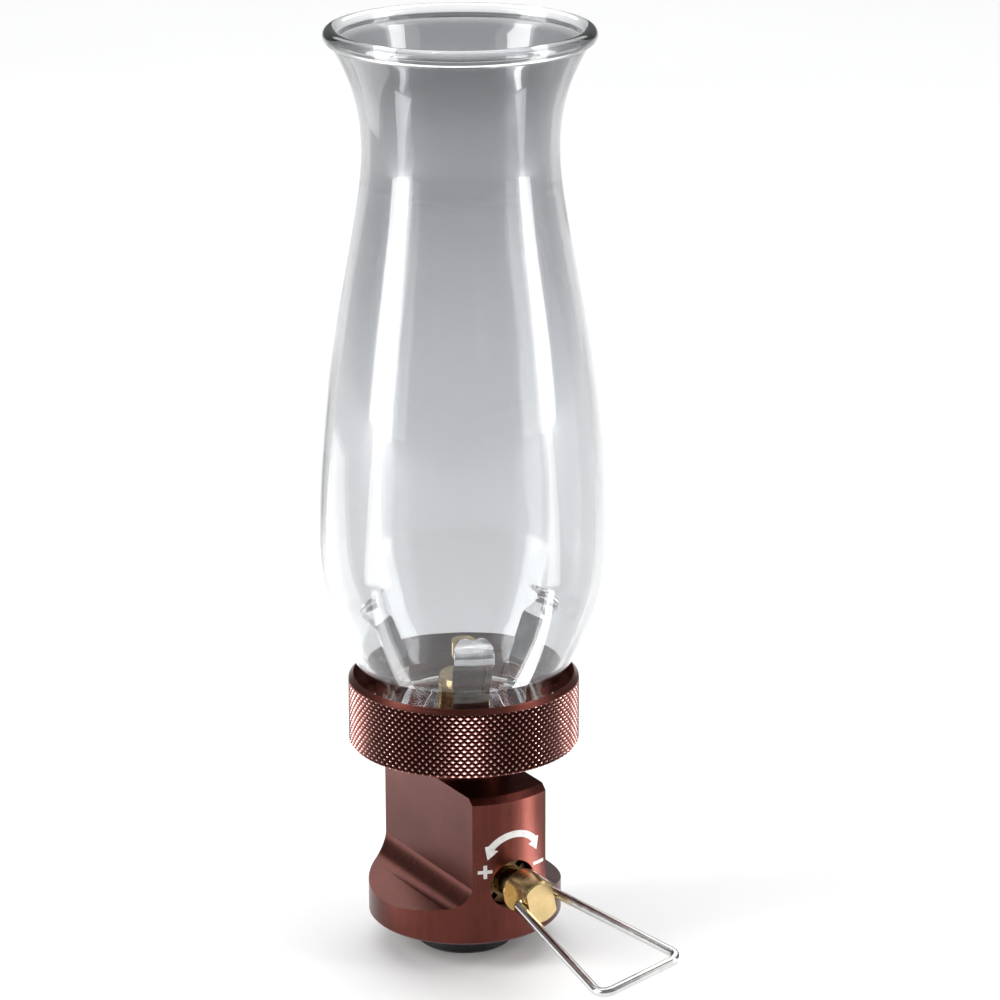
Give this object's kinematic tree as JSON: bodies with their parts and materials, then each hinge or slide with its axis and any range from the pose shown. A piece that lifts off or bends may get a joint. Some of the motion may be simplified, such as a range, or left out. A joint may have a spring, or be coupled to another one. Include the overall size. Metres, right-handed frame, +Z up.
{
  "type": "gas candle lantern",
  "caption": "Small screw-on gas lantern: flanged valve block, knurled cup, waisted clear glass chimney with a flared mouth, spring clips and a folding wire valve handle.",
  "frame": {"origin": "centre of the gas connector's lower face, where it meets the canister", "axes": "+Z up along the lantern's axis; the valve and its wire handle point along -Y; +X to the right of the valve"},
  "size_m": [0.0522, 0.0875, 0.1726],
  "materials": {
    "anodised_red": "matt red-brown anodised aluminium",
    "black_plastic": "satin black moulded plastic",
    "black_metal": "dark anodised aluminium",
    "brass": "turned bare brass",
    "stainless_wire": "bright drawn stainless wire",
    "spring_steel": "bright stamped stainless sheet",
    "rubber": "black nitrile rubber",
    "sintered_bronze": "grainy sintered bronze",
    "fibre": "pressed white fibre",
    "glass": "clear heat-resistant glass"
  },
  "bodies": {
    "lantern": {"gas_connector": "black_plastic", "connector_o_ring": "rubber", "canister_seal": "rubber", "depressor_pin": "brass", "gas_filter": "sintered_bronze", "valve_body": "anodised_red", "valve_seat": "brass", "gland_nut": "brass", "gland_o_ring": "rubber", "neck_post": "black_metal", "neck_o_ring": "rubber", "knurled_cup": "anodised_red", "spring_clips": "spring_steel", "clip_washer": "spring_steel", "glass_gasket": "fibre", "burner_body": "brass", "jet_filter": "sintered_bronze", "burner_tip": "brass", "gas_jet": "brass"},
    "valve_cone": {"valve_cone": "brass", "cone_pad": "rubber"},
    "valve_spindle": {"valve_spindle": "brass", "spindle_o_ring": "rubber"},
    "wire_handle": {"wire_handle": "stainless_wire"},
    "glass_chimney": {"glass_chimney": "glass"}
  },
  "joints": [
    {"name": "valve_feed", "type": "slide", "parent": "lantern", "child": "valve_cone", "axis": [0, -1, 0], "range_m": [0, 0.00115]},
    {"name": "valve_turn", "type": "hinge", "parent": "valve_cone", "child": "valve_spindle", "pos_m": [0, -0.024, 0.0167], "axis": [0, -1, 0], "range_deg": [0, 540]},
    {"name": "handle_fold", "type": "hinge", "parent": "valve_spindle", "child": "wire_handle", "pos_m": [0, -0.02475, 0.0167], "axis": [-0.9785, 0, -0.2062], "range_deg": [-87, 92]},
    {"name": "chimney_lift", "type": "slide", "parent": "lantern", "child": "glass_chimney", "axis": [0, 0, 1], "range_m": [0, 0.025], "deforming": ["spring_clips"]}
  ],
  "couplings": [
    {"joint": "valve_feed", "follows": "valve_turn", "m_per_rad": 0.00011937}
  ]
}
